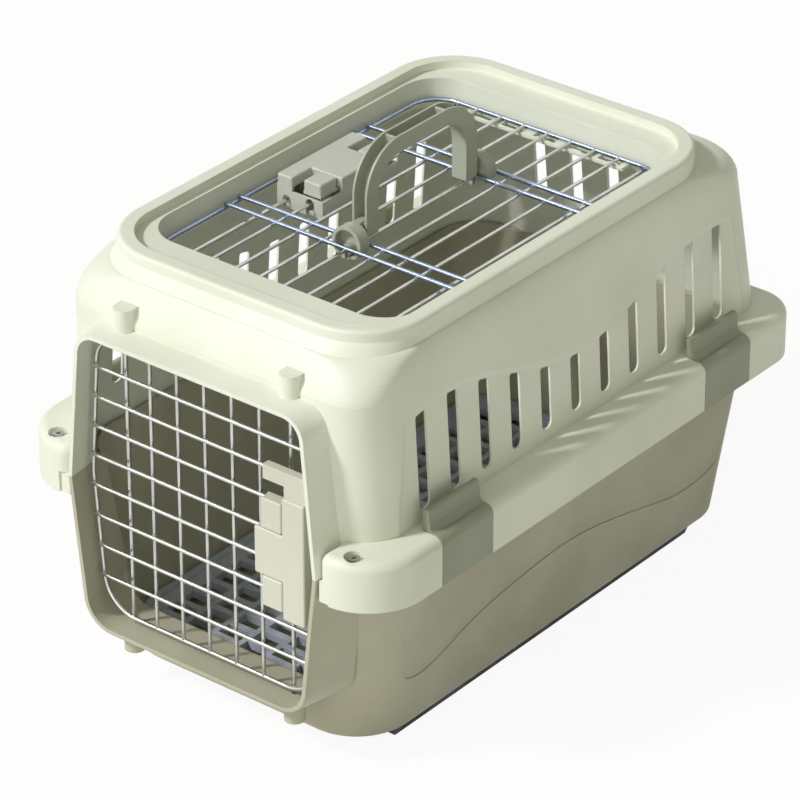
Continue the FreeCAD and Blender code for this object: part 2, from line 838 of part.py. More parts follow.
def make_ear_screws():
    """Cross-head screws through the ears into the tray wings."""
    screws = []
    seat = band_top - screw_recess_depth
    for side in (-1, 1):
        x = side * ear_screw_x
        head = rod(Vector(x, screw_y, seat), Vector(x, screw_y, seat + screw_head_height), screw_head_radius)
        tip = Vector(x, screw_y, parting_z - screw_bite)
        shank = rod(tip, Vector(x, screw_y, seat), screw_shank_radius - running)
        arm = screw_head_radius / 2
        slot = screw_shank_radius / 4
        cross = box(x - arm, x + arm, screw_y - slot, screw_y + slot, seat + screw_head_height / 2, far)
        other = box(x - slot, x + slot, screw_y - arm, screw_y + arm, seat + screw_head_height / 2, far)
        screws.append(head.fuse(shank).cut(cross.fuse(other)))
    return Part.makeCompound(screws)


# Side clips
def make_clip(side, y):
    """Clip with its lower barrel on the tray lugs and its hook over the band."""
    tab_top = band_top + clip_tab_rise
    hook = band_half - clip_reach
    low = band_bottom + slip
    tab_out = hook + clip_tab_thick
    points = [(clip_face, low), (clip_face, band_top + clip_proud), (tab_out, band_top + clip_proud),
              (tab_out - clip_tab_lean, tab_top), (hook - clip_tab_lean, tab_top),
              (hook, clip_lid), (clip_inner, clip_lid), (clip_inner, low)]
    radii = [0, clip_roll_radius, clip_crease_radius, clip_tab_round, clip_tab_round, seam, clip_thick, 0]
    half = clip_width / 2
    body = plate(points, radii, lambda x, z: Vector(x, -half, z), Vector(0, clip_width, 0))
    barrel_half = half - clip_lug_width - 2 * slip
    axis_start = Vector(clip_axis_x, -barrel_half, clip_axis_z)
    axis_end = Vector(clip_axis_x, barrel_half, clip_axis_z)
    barrel = rod(axis_start, axis_end, clip_barrel_radius)
    web_half = clip_barrel_radius / 2
    web = box(clip_axis_x, clip_inner + clip_thick / 2, -barrel_half, barrel_half,
              clip_axis_z - web_half, clip_axis_z + web_half)
    pin_half = barrel_half + slip + clip_lug_width
    pin = rod(Vector(clip_axis_x, -pin_half, clip_axis_z), Vector(clip_axis_x, pin_half, clip_axis_z),
              clip_pin_radius)
    clip = fused([body, barrel, web, pin]).translated(Vector(0, y, 0))
    if side < 0:
        return mirrored(clip)
    return clip


# Foot runners
def make_runner(side):
    """Foot strip under one long side, with a sloped rear end."""
    top = runner_height
    points = [(runner_front, 0), (runner_rear - runner_chamfer, 0), (runner_rear, top), (runner_front, top)]
    inner = runner_half - runner_width
    runner = plate(points, [0, 0, 0, 0], lambda y, z: Vector(inner, y, z), Vector(runner_width, 0, 0))
    if side < 0:
        return mirrored(runner)
    return runner


# Floor grate
def make_floor_grate():
    """Slatted floor insert that stands on the tray's ribs."""
    low = floor_z + floor_rib_height
    fall = (parting_z - low) / base_height
    inset = wall + grate_gap + base_taper * fall
    half = base_half_width - wall - grate_gap - base_side_taper * fall
    front = base_front + inset
    rear = base_rear - inset
    corner = base_rear_corner - wall - grate_gap
    front_corner = base_front_corner - wall - grate_gap
    plate_solid = block(half, front, rear, front_corner, corner, low, low + grate_thick)
    column = 2 * (half - corner / 2) / grate_columns
    row = (rear - front - corner) / grate_rows
    holes = []
    for i in range(grate_columns):
        for j in range(grate_rows):
            x = -half + corner / 2 + (i + 0.5) * column
            shift = row / 2 * (i % 2)
            y = front + corner / 2 + (j + 0.5) * row + shift - row / 4
            holes.append(box(x - (column - grate_bar) / 2, x + (column - grate_bar) / 2,
                             y - (row - grate_slat) / 2, y + (row - grate_slat) / 2,
                             low - overrun, low + grate_thick + overrun))
    dish = block(half - grate_edge, front + grate_edge, rear - grate_edge, front_corner - grate_edge,
                 corner - grate_edge, low + grate_thick * 2 / 3, low + grate_thick + overrun)
    return plate_solid.cut(dish).cut(Part.makeCompound(holes))


# Front door
def row_z(i):
    return first_row - i * door_row_pitch


def frame_half_at(z):
    """Half width of the door's frame wire at height z."""
    if z > parting_z:
        share = (z - parting_z) / (frame_top - parting_z)
        return frame_middle_half + (frame_top_half - frame_middle_half) * share
    share = (parting_z - z) / (parting_z - frame_bottom)
    return frame_middle_half + (frame_bottom_half - frame_middle_half) * share


def make_door_frame():
    points = [(-frame_top_half, frame_top), (frame_top_half, frame_top), (frame_middle_half, parting_z)]
    points += [(frame_bottom_half, frame_bottom), (-frame_bottom_half, frame_bottom)]
    points += [(-frame_middle_half, parting_z)]
    bends = [frame_top_bend] * 2 + [frame_bottom_bend] * 4
    return bent_loop(points, bends, frame_radius, lambda x, z: Vector(x, frame_y, z))


def make_door_cross_wires():
    wires = []
    for i in range(door_rows):
        z = row_z(i)
        half = frame_half_at(z) + frame_radius / 2
        wires.append(rod(Vector(-half, cross_y, z), Vector(half, cross_y, z), cross_radius))
    return Part.makeCompound(wires)


def make_door_uprights():
    wires = []
    for i in range(-2, 3):
        x = i * door_pitch
        wires.append(rod(Vector(x, frame_y, frame_bottom + frame_radius / 2),
                         Vector(x, frame_y, frame_top - frame_radius / 2), upright_radius))
    return Part.makeCompound(wires)


def make_door_hinge_rod():
    low = socket_floor - socket_bite
    high = socket_ceiling + socket_bite
    return rod(Vector(-rod_x, rod_y, low), Vector(-rod_x, rod_y, high), rod_radius)


# Pinch latch, drawn with its slide along X, its width along Y and its outer face towards Z
def latch_place(origin, along, across, outwards):
    matrix = FreeCAD.Matrix(along.x, across.x, outwards.x, origin.x,
                            along.y, across.y, outwards.y, origin.y,
                            along.z, across.z, outwards.z, origin.z,
                            0, 0, 0, 1)
    return FreeCAD.Placement(matrix)


def put(shape, placement):
    copy = shape.copy()
    copy.Placement = placement.multiply(copy.Placement)
    return copy


Latch = namedtuple("Latch", "front half wing_half column wing knob grip posts")
plate_low = -latch_back_gap - latch_back_thick


def tongue_low(latch):
    return min(latch.knob[0], -latch_link_half)


def latch_housing(latch):
    """Outer cover: a column along the slide, a wing between the knobs and three screw posts."""
    half = latch.half
    near, far_side = latch.column
    arm = latch.wing_half
    outline = [(-half, near), (half, near), (half, far_side), (arm, far_side), (arm, latch.wing),
               (-arm, latch.wing), (-arm, far_side), (-half, far_side)]
    edge = latch_edge_radius
    radii = [edge, edge, edge, seam, edge, edge, seam, edge]
    cover = plate(outline, radii, lambda a, b: Vector(a, b, latch_floor),
                  Vector(0, 0, latch.front - latch_floor))
    top_edges = [edge for edge in cover.Edges if edge.BoundBox.ZMin > latch.front - seam]
    cover = cover.makeChamfer(latch_edge_radius / 2, top_edges)
    cover = cover.cut(box(-far, far, tongue_low(latch) - slip, far, -far, channel_top))
    posts = []
    for along, across in latch.posts:
        posts.append(rod(Vector(along, across, -latch_back_gap), Vector(along, across, channel_top + slip),
                         latch_post_radius))
    return fused([cover] + posts)


def bored_posts(cover, latch):
    """The cover with a screw hole up each post."""
    holes = []
    for along, across in latch.posts:
        end = Vector(along, across, -latch_back_gap + latch_screw_bite)
        holes.append(rod(Vector(along, across, -far), end, latch_screw_radius))
    return cover.cut(Part.makeCompound(holes))


def latch_back(latch):
    """Rear plate with a guide for each bolt and the stop for the springs."""
    guide_end = latch_guide_start + latch_guide_length
    near = min([-latch_guide_half] + [across - latch_post_radius for along, across in latch.posts])
    other = max([latch_guide_half] + [across + latch_post_radius for along, across in latch.posts])
    half = max([guide_end] + [along + latch_post_radius for along, across in latch.posts])
    outline = [(-half, near), (half, near), (half, other), (-half, other)]
    pieces = [plate(outline, [latch_edge_radius] * len(outline), lambda a, b: Vector(a, b, plate_low),
                    Vector(0, 0, latch_back_thick))]
    for direction in (-1, 1):
        edge = sorted([direction * latch_guide_start, direction * guide_end])
        pieces.append(box(edge[0], edge[1], -latch_guide_half, latch_guide_half,
                          -latch_back_gap - seam, latch_guide_top))
    pieces.append(box(-latch_stop_half, latch_stop_half, -latch_guide_half, latch_guide_half,
                      -latch_back_gap - seam, latch_guide_top))
    plate_solid = fused(pieces)
    cuts = []
    for direction in (-1, 1):
        cuts.append(rod(Vector(direction * (latch_guide_start - overrun), 0, 0),
                        Vector(direction * (half + overrun), 0, 0), bore_radius))
    for along, across in latch.posts:
        cuts.append(rod(Vector(along, across, plate_low - overrun), Vector(along, across, overrun),
                        latch_screw_radius + running))
    return plate_solid.cut(Part.makeCompound(cuts))


def latch_screws(latch):
    screws = []
    head_low = plate_low - latch_screw_head_height
    shank_end = -latch_back_gap + latch_screw_bite - slip
    arm = latch_screw_head / 2
    slot = latch_screw_radius / 4
    deep = plate_low - latch_screw_head_height / 2
    for along, across in latch.posts:
        head = rod(Vector(along, across, head_low), Vector(along, across, plate_low), latch_screw_head)
        shank = rod(Vector(along, across, plate_low), Vector(along, across, shank_end),
                    latch_screw_radius - running)
        cross = box(along - arm, along + arm, across - slot, across + slot, -far, deep)
        other = box(along - slot, along + slot, across - arm, across + arm, -far, deep)
        screws.append(head.fuse(shank).cut(cross.fuse(other)))
    return Part.makeCompound(screws)


def latch_slider(latch):
    """Knob with a tongue under the cover and a link that holds the bolt."""
    low = latch_floor + running
    top = latch_floor + latch_tongue
    start, end = latch.grip
    near, other = latch.knob
    link_end = latch_link_start + latch_link_length
    bar = box(latch_link_start, link_end, tongue_low(latch), other, low, top)
    tongue = box(latch_link_start, end, near, other, low, top).fuse(bar)
    outline = [(start, near), (end, near), (end, other), (start, other)]
    grip = plate(outline, [latch_edge_radius] * len(outline), lambda a, b: Vector(a, b, low),
                 Vector(0, 0, latch.front - low))
    top_edges = [edge for edge in grip.Edges if edge.BoundBox.ZMin > latch.front - seam]
    grip = grip.makeChamfer(latch_edge_radius / 2, top_edges)
    link = box(latch_link_start, link_end, -latch_link_half, latch_link_half, -latch_link_back, top)
    bore = rod(Vector(latch_link_start + latch_link_length / 2, 0, 0), Vector(far, 0, 0), rod_radius)
    return fused([tongue, grip, link]).cut(bore)


def spring_coil(start, end):
    """Pressed coil spring between the stop and the link."""
    steps = spring_sides * spring_turns
    path = []
    for i in range(steps + 1):
        turn = 2 * math.pi * i / spring_sides
        path.append(Vector(start + (end - start) * i / steps, spring_radius * math.cos(turn),
                           spring_radius * math.sin(turn)))
    outward = Vector(0, 1, 0)
    along = Vector(1, 0, 0)
    section = []
    for i in range(spring_sides + 1):
        turn = 2 * math.pi * i / spring_sides
        point = outward * spring_wire * math.cos(turn) + along * spring_wire * math.sin(turn)
        section.append(path[0] + point)
    return Part.makePolygon(path).makePipeShell([Part.makePolygon(section)], True, False, 1)


door_latch_z = first_row - 3.5 * door_row_pitch
door_latch_middle = Vector(rod_x, bolt_y, door_latch_z)
door_place = latch_place(door_latch_middle, Vector(0, 0, 1), Vector(-1, 0, 0), Vector(0, -1, 0))
roof_latch_middle = Vector(-roof_rod_x, -roof_latch_shift, roof_bolt_z)
roof_place = latch_place(roof_latch_middle, Vector(0, -1, 0), Vector(1, 0, 0), Vector(0, 0, 1))
door_posts = [(along, -door_post_side) for along in (-door_post_spread, 0, door_post_spread)]
door_latch = Latch(front=door_latch_front, half=door_latch_half, wing_half=door_wing_half,
                   column=(-door_column_far, -door_column_near), wing=door_wing_far,
                   knob=(-door_column_near + slip, door_knob_far), grip=(door_knob_start, door_knob_end),
                   posts=door_posts)
roof_posts = [(0, roof_post_near), (-roof_post_spread, roof_post_far), (roof_post_spread, roof_post_far)]
roof_latch = Latch(front=roof_latch_top, half=roof_latch_half, wing_half=roof_wing_half,
                   column=(-roof_column_near, roof_column_far), wing=roof_wing_far,
                   knob=(roof_knob_near, roof_knob_far), grip=(roof_knob_start, roof_knob_end),
                   posts=roof_posts)
link_middle = latch_link_start + latch_link_length / 2
spring_start = latch_stop_half + spring_wire + running
spring_end = latch_link_start - spring_wire - running


def make_door_housing():
    """Door latch cover with a bracket over its upper knob."""
    end = door_bracket_start + door_bracket_length
    step = door_latch_front - latch_cover
    near, other = door_latch.column
    arm = box(door_latch_half - latch_cover, end, near, other, latch_floor, step)
    cap = box(door_bracket_start, end, near, door_knob_far, latch_floor, step)
    return put(bored_posts(fused([latch_housing(door_latch), arm, cap]), door_latch), door_place)


def make_roof_housing():
    """Roof latch cover with low skirts round it and a saddle that grips the nearest long wire."""
    near, other = roof_latch.column
    wing = roof_latch.wing
    half = roof_latch.half
    low_top = latch_floor - slip
    joint = channel_top + slip
    outer = box(-half, half, near, wing, plate_low, low_top)
    inner = box(-half + roof_skirt, half - roof_skirt, near + roof_skirt, wing - roof_skirt, -far, far)
    skirt = [outer.cut(inner)]
    skirt.append(box(-half, half, near, near + roof_skirt, plate_low, joint))
    skirt.append(box(-roof_wing_half, roof_wing_half, wing - roof_skirt, wing, plate_low, joint))
    for direction in (-1, 1):
        edge = sorted([direction * half, direction * (half - roof_skirt)])
        skirt.append(box(edge[0], edge[1], near, other, plate_low, joint))
    wire_rise = roof_z - roof_bolt_z
    grip = saddle_wall + roof_long_radius
    saddle = box(-saddle_half, saddle_half, roof_pitch - grip, roof_pitch + grip, wire_rise - grip, joint)
    cover = bored_posts(fused([latch_housing(roof_latch), saddle] + skirt), roof_latch)
    wire_room = roof_long_radius + running
    cuts = [rod(Vector(-far, roof_pitch, wire_rise), Vector(far, roof_pitch, wire_rise), wire_room)]
    for across, rise in ((0, 0), (roof_pitch, wire_rise)):
        for direction in (-1, 1):
            edge = sorted([direction * (half + overrun), direction * (half - roof_skirt)])
            cuts.append(rod(Vector(edge[0], across, rise), Vector(edge[1], across, rise), roof_arch))
            cuts.append(box(edge[0], edge[1], across - roof_arch, across + roof_arch, -far, rise))
    return put(cover.cut(Part.makeCompound(cuts)), roof_place)


def make_bolts():
    """The four bolts, each from its slider's link to just short of its socket."""
    upper_tip = collar_top - wall - bolt_draw
    lower_tip = collar_bottom + wall + bolt_draw
    front_tip = well_front + bolt_draw
    rear_tip = well_rear - bolt_draw
    x = -roof_rod_x
    z = roof_bolt_z
    middle = -roof_latch_shift
    upper_start = Vector(rod_x, bolt_y, door_latch_z + link_middle)
    lower_start = Vector(rod_x, bolt_y, door_latch_z - link_middle)
    upper = rod(upper_start, Vector(rod_x, bolt_y, upper_tip), rod_radius)
    lower = rod(lower_start, Vector(rod_x, bolt_y, lower_tip), rod_radius)
    front = rod(Vector(x, middle - link_middle, z), Vector(x, front_tip, z), rod_radius)
    rear = rod(Vector(x, middle + link_middle, z), Vector(x, rear_tip, z), rod_radius)
    return upper, lower, front, rear


# Roof door
def make_roof_frame():
    points = [(-roof_frame_half, roof_frame_front), (roof_frame_half, roof_frame_front),
              (roof_frame_half, roof_frame_rear), (-roof_frame_half, roof_frame_rear)]
    return bent_loop(points, [roof_frame_bend] * 4, frame_radius, lambda x, y: Vector(x, y, roof_z))


def make_roof_long_wires():
    wires = []
    for i in range(-3, 4):
        x = i * roof_pitch
        wires.append(rod(Vector(x, roof_frame_front + frame_radius / 2, roof_z),
                         Vector(x, roof_frame_rear - frame_radius / 2, roof_z), roof_long_radius))
    return Part.makeCompound(wires)


def make_roof_cross_wires():
    wires = []
    half = roof_frame_half + frame_radius / 2
    for middle in (handle_front, handle_rear):
        for side in (-1, 1):
            y = middle + side * pair_gap / 2
            wires.append(rod(Vector(-half, y, roof_cross_z), Vector(half, y, roof_cross_z), frame_radius))
    return Part.makeCompound(wires)


def make_roof_hinge_rod():
    return rod(Vector(roof_rod_x, well_front - wall - seam, roof_rod_z),
               Vector(roof_rod_x, well_rear + wall + seam, roof_rod_z), rod_radius)


# Carry handle
def make_carry_handle():
    """Arched channel that is open outwards, with two ribs, and a snap hub outside each leg."""
    top = roof_z + handle_height
    low = roof_z + hub_rise
    middle = -handle_shift
    out = handle_leg_span / 2 + handle_depth / 2
    inside = out - handle_depth
    ceiling = top - handle_depth
    inner_bend = handle_bend - handle_depth

    def arch(reach, height, bend, half):
        front = middle - reach
        rear = middle + reach
        outline = [(front, low), (rear, low), (rear, height), (front, height)]
        return plate(outline, [0, 0, bend, bend], lambda y, z: Vector(-half, y, z), Vector(2 * half, 0, 0))

    handle = arch(out, top, handle_bend, handle_half)
    floor = arch(inside + handle_skin, ceiling + handle_skin, inner_bend + handle_skin, handle_half)
    inner_half = handle_half - handle_skin
    channel = box(-inner_half, inner_half, -far, far, low + handle_foot, far).cut(floor)
    handle = handle.cut(channel)
    extra = []
    for side in (-1, 1):
        y = middle + side * rib_spacing / 2
        extra.append(box(-inner_half - handle_skin / 2, inner_half + handle_skin / 2, y - rib_thick / 2,
                         y + rib_thick / 2, ceiling + handle_skin / 2, top - handle_skin / 2))
    handle = fused([handle] + extra)
    handle = handle.cut(arch(inside, ceiling, inner_bend, far))
    hub_thick = pair_gap - 2 * frame_radius - 2 * hub_gap
    hubs = []
    cuts = []
    for seat, side in ((handle_front, -1), (handle_rear, 1)):
        hub_z = roof_z + hub_rise
        outer = seat + side * hub_thick / 2
        inner = seat - side * hub_thick / 2
        hub = rod(Vector(0, outer, hub_z), Vector(0, inner, hub_z), hub_radius)
        recess_end = outer - side * hub_recess
        recess = rod(Vector(0, outer, hub_z), Vector(0, recess_end, hub_z), hub_radius - hub_wall)
        recess = recess.cut(rod(Vector(0, outer, roof_z), Vector(0, recess_end, roof_z), hub_boss))
        hubs.append(hub.cut(recess))
        reach = sorted([inner + side * hub_wall / 2, middle + side * (out - handle_depth / 2)])
        hubs.append(box(-neck_half, neck_half, reach[0], reach[1], roof_z + neck_rise,
                        roof_z + neck_rise + neck_height))
        edge = sorted([outer + side * overrun, inner - side * handle_skin])
        cuts.append(rod(Vector(0, edge[0], roof_z), Vector(0, edge[1], roof_z), roof_long_radius + running))
        cuts.append(box(-hub_mouth / 2, hub_mouth / 2, edge[0], edge[1], roof_z - far, roof_z))
    return fused([handle] + hubs).cut(Part.makeCompound(cuts))


# All pieces by name
bolt_upper, bolt_lower, bolt_front, bolt_rear = make_bolts()
door_slide = latch_slider(door_latch)
roof_slide = latch_slider(roof_latch)
coil = spring_coil(spring_start, spring_end)
pieces = {
    "base_shell": make_base_shell(),
    "top_shell": make_top_shell(),
    "runner_left": make_runner(-1),
    "runner_right": make_runner(1),
    "floor_grate": make_floor_grate(),
    "ear_screws": make_ear_screws(),
    "clip_front_left": make_clip(-1, -clip_centre),
    "clip_front_right": make_clip(1, -clip_centre),
    "clip_rear_left": make_clip(-1, clip_centre),
    "clip_rear_right": make_clip(1, clip_centre),
    "door_frame_wire": make_door_frame(),
    "door_cross_wires": make_door_cross_wires(),
    "door_upright_wires": make_door_uprights(),
    "door_hinge_rod": make_door_hinge_rod(),
    "door_latch_housing": make_door_housing(),
    "door_latch_back": put(latch_back(door_latch), door_place),
    "door_latch_screws": put(latch_screws(door_latch), door_place),
    "door_slider_upper": put(door_slide, door_place),
    "door_slider_lower": put(mirrored(door_slide), door_place),
    "door_bolt_upper": bolt_upper,
    "door_bolt_lower": bolt_lower,
    "door_spring_upper": put(coil, door_place),
    "door_spring_lower": put(mirrored(coil), door_place),
    "roof_frame_wire": make_roof_frame(),
    "roof_long_wires": make_roof_long_wires(),
    "roof_cross_wires": make_roof_cross_wires(),
    "roof_hinge_rod": make_roof_hinge_rod(),
    "roof_latch_housing": make_roof_housing(),
    "roof_latch_back": put(latch_back(roof_latch), roof_place),
    "roof_latch_screws": put(latch_screws(roof_latch), roof_place),
    "roof_slider_front": put(roof_slide, roof_place),
    "roof_slider_rear": put(mirrored(roof_slide), roof_place),
    "roof_bolt_front": bolt_front,
    "roof_bolt_rear": bolt_rear,
    "roof_spring_front": put(coil, roof_place),
    "roof_spring_rear": put(mirrored(coil), roof_place),
    "carry_handle": make_carry_handle(),
}

for name, shape in pieces.items():
    shape.exportStep("parts/" + name + ".step")
    size = shape.optimalBoundingBox()
    print(name, "solids", len(shape.Solids), "valid", shape.isValid(), "cm3", round(shape.Volume / 1000, 2),
          "box", [round(v, 1) for v in (size.XMin, size.XMax, size.YMin, size.YMax, size.ZMin, size.ZMax)])
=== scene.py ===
# %% [markdown]
# A small pet carrier: two moulded plastic halves, a welded wire door in front, a second
# wire door in the roof, pinch latches, side clips and a carry handle.
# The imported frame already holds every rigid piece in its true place, so this lesson gives
# each piece its finish and adds the small metal work that a mesh draws better than a solid.

# %% Load the frame
import math

import bpy
from mathutils import Matrix, Vector


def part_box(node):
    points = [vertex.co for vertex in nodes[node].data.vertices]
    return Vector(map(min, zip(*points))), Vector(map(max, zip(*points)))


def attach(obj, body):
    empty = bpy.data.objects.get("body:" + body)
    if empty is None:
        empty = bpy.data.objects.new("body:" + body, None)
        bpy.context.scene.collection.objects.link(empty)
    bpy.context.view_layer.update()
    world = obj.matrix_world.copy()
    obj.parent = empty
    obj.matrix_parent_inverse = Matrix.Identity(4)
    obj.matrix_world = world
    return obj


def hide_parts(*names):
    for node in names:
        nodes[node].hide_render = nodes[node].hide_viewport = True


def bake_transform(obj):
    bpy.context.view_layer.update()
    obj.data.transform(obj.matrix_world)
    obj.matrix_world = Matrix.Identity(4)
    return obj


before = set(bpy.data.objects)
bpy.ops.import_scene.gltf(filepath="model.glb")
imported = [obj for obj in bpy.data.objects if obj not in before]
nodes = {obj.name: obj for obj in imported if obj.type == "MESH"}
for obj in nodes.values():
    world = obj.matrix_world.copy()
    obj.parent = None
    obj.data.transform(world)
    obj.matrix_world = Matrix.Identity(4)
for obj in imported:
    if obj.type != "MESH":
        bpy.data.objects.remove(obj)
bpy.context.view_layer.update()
mm = 0.001

# %% [markdown]
# A few helpers serve the whole lesson. One turns a colour as a designer writes it, an sRGB
# hex value, into the linear numbers that the shader wants. One adds a node to a tree and
# fills its inputs, so shader trees and geometry trees are written the same way. One turns a
# real size into a texture scale, and one starts a material with an empty tree.

# %% Colour and node helpers
def colour(text):
    """Linear RGBA from an sRGB hex value."""
    parts = [int(text[i:i + 2], 16) / 255 for i in (1, 3, 5)]
    linear = [p / 12.92 if p <= 0.04045 else ((p + 0.055) / 1.055) ** 2.4 for p in parts]
    return (*linear, 1.0)


def add(tree, kind, inputs=None, **settings):
    """New node with its settings; an input takes a value or another node's output."""
    node = tree.nodes.new(kind)
    for name, value in settings.items():
        setattr(node, name, value)
    for key, value in (inputs or {}).items():
        if isinstance(value, bpy.types.NodeSocket):
            tree.links.new(value, node.inputs[key])
        else:
            node.inputs[key].default_value = value
    return node


def per_metre(millimetres):
    """Texture scale whose features are about this many millimetres across."""
    return 1 / (millimetres * mm)


def empty_material(name):
    """New material whose node tree is still empty."""
    material = bpy.data.materials.new(name)
    material.use_nodes = True
    material.node_tree.nodes.clear()
    return material


white = (1.0, 1.0, 1.0, 1.0)
print("mid grey in linear light", [round(v, 3) for v in colour("#808080")])

# %% [markdown]
# No moulded or plated surface has one flat colour. Its tone and its shine drift together in
# soft patches, and the size of the patch tells plastic from metal. One noise can drive both
# the colour and the roughness, so both finishes below share this step.

# %% Drifting tone and shine
noise_detail = 3.0
tone_low, tone_high = 0.35, 0.65
shine_low, shine_high = 0.3, 0.7


def drifting_finish(tree, place, patch_mm, main, drift, smoothest, roughest):
    """Colour and roughness outputs that drift between two values in patches of this size."""
    patch = add(tree, "ShaderNodeTexNoise", {"Vector": place, "Scale": per_metre(patch_mm),
                                             "Detail": noise_detail})
    tone = add(tree, "ShaderNodeMapRange", {"Value": patch.outputs["Fac"],
                                            "From Min": tone_low, "From Max": tone_high})
    body = add(tree, "ShaderNodeMix", {"Factor": tone.outputs["Result"], "A": colour(main),
                                       "B": colour(drift)}, data_type="RGBA")
    shine = add(tree, "ShaderNodeMapRange", {"Value": patch.outputs["Fac"],
                                             "From Min": shine_low, "From Max": shine_high,
                                             "To Min": smoothest, "To Max": roughest})
    return body.outputs["Result"], shine.outputs["Result"]


print("tone drifts from", tone_low, "to", tone_high, "of the noise")

# %% [markdown]
# The shells, clips, latches and handle are injection moulded polypropylene. The mould is
# spark eroded, which leaves a fine even grain and a satin shine. Flow lines and handling
# make the tone drift slightly over a hand's width. The grain of a real shell is about half
# a millimetre; it is drawn at about one millimetre so that it shows at this picture size.
# A bevel normal softens the sharp edges of the solids, and where it turns away from the
# flat normal the edge is painted paler, a painted highlight along every edge.

# %% Moulded plastic
plastic_ior = 1.49
plastic_drift_mm = 70.0
grain_mm, grain_detail = 1.1, 2.0
grain_depth_mm, grain_strength = 0.15, 0.12
# The last value is how far an edge is painted toward its paler colour, a painted highlight.
edge_begins, edge_full, edge_highlight_share = 0.995, 0.75, 0.55
smoother, rougher = 0.05, 0.06


def moulded_plastic(name, main, drift, paler_tone, rough, edge_mm=0.9):
    material = empty_material(name)
    tree = material.node_tree
    place = add(tree, "ShaderNodeTexCoord").outputs["Object"]
    body, shine = drifting_finish(tree, place, plastic_drift_mm, main, drift,
                                  rough - smoother, rough + rougher)
    soft = add(tree, "ShaderNodeBevel", {"Radius": edge_mm * mm}, samples=4)
    flat = add(tree, "ShaderNodeNewGeometry")
    turn = add(tree, "ShaderNodeVectorMath", {0: soft.outputs["Normal"], 1: flat.outputs["Normal"]},
               operation="DOT_PRODUCT")
    edge = add(tree, "ShaderNodeMapRange", {"Value": turn.outputs["Value"],
                                            "From Min": edge_begins, "From Max": edge_full,
                                            "To Max": edge_highlight_share})
    # Painted highlight: edges are mixed toward the paler edge colour.
    finish = add(tree, "ShaderNodeMix", {"Factor": edge.outputs["Result"], "A": body,
                                         "B": colour(paler_tone)}, data_type="RGBA")
    grain = add(tree, "ShaderNodeTexNoise", {"Vector": place, "Scale": per_metre(grain_mm),
                                             "Detail": grain_detail})
    bump = add(tree, "ShaderNodeBump", {"Height": grain.outputs["Fac"],
                                        "Normal": soft.outputs["Normal"],
                                        "Strength": grain_strength,
                                        "Distance": grain_depth_mm * mm})
    shader = add(tree, "ShaderNodeBsdfPrincipled", {"Base Color": finish.outputs["Result"],
                                                    "Roughness": shine,
                                                    "Normal": bump.outputs["Normal"],
                                                    "IOR": plastic_ior})
    add(tree, "ShaderNodeOutputMaterial", {"Surface": shader.outputs["BSDF"]})
    return material


# The third colour of each plastic is the painted highlight colour for its edges.
cream_shell = moulded_plastic("moulded_polypropylene_sage_cream",
                              "#e9ebdd", "#e2e5d5", "#f2f3ea", 0.50)
taupe_tray = moulded_plastic("moulded_polypropylene_taupe",
                             "#bbb8a4", "#b1ae99", "#cbc8b6", 0.50)
grey_clip = moulded_plastic("moulded_polypropylene_grey_green",
                            "#989d8b", "#91967f", "#b4b9a8", 0.42)
grey_handle = moulded_plastic("moulded_polypropylene_handle_grey",
                              "#b2b6a6", "#abaf9e", "#d2d5c8", 0.42)
pale_latch = moulded_plastic("moulded_abs_pale_latch",
                             "#d2d2c3", "#ccccbc", "#e6e6db", 0.42)
roof_latch = moulded_plastic("moulded_abs_roof_latch",
                             "#c8cac0", "#c1c3b8", "#dcddd4", 0.38)
blue_grate = moulded_plastic("moulded_polypropylene_blue_grey",
                             "#b7bdca", "#aeb4c2", "#ced3dd", 0.46, edge_mm=0.6)
print("plastics", [m.name for m in bpy.data.materials if m.name.startswith("moulded")])

# %% [markdown]
# The door and roof wires are drawn steel with bright plate, nickel on the door and zinc,
# which looks bluer, on the roof door's frame. Drawing leaves faint lines, here a fine noise,
# and the plate is almost a mirror, slightly cloudy in patches. A metal keeps the default
# IOR, and the tone comes from its base colour.

# %% Bright wire and screw steel
line_depth_mm, line_strength, line_detail = 0.02, 0.03, 2.0
clearer, cloudier = 0.06, 0.08


def plated_steel(name, main, drift, rough, cloud_mm, line_mm):
    material = empty_material(name)
    tree = material.node_tree
    place = add(tree, "ShaderNodeTexCoord").outputs["Object"]
    body, shine = drifting_finish(tree, place, cloud_mm, main, drift,
                                  rough - clearer, rough + cloudier)
    lines = add(tree, "ShaderNodeTexNoise", {"Vector": place, "Scale": per_metre(line_mm),
                                             "Detail": line_detail})
    bump = add(tree, "ShaderNodeBump", {"Height": lines.outputs["Fac"],
                                        "Strength": line_strength,
                                        "Distance": line_depth_mm * mm})
    shader = add(tree, "ShaderNodeBsdfPrincipled", {"Base Color": body, "Metallic": 1.0,
                                                    "Roughness": shine,
                                                    "Normal": bump.outputs["Normal"]})
    add(tree, "ShaderNodeOutputMaterial", {"Surface": shader.outputs["BSDF"]})
    return material


bright_wire = plated_steel("nickel_plated_drawn_wire", "#d8d8d3", "#c6c7c3", 0.24, 14.0, 1.0)
blue_wire = plated_steel("zinc_plated_drawn_wire_blue", "#a4aec4", "#929db4", 0.26, 14.0, 1.0)
screw_steel = plated_steel("zinc_plated_screw_steel", "#b5b4ae", "#9d9c96", 0.34, 4.0, 0.8)
spring_steel = plated_steel("drawn_spring_steel", "#a7a8a8", "#8e8f90", 0.30, 3.0, 0.8)
print("metals", [m.name for m in bpy.data.materials if "steel" in m.name or "wire" in m.name])

# %% [markdown]
# The foot strips are dark rubber. Rubber is matt, and where it has rubbed over a floor it
# shows worn grey-violet patches a few centimetres long, which a noise stretched along the
# strip draws well.

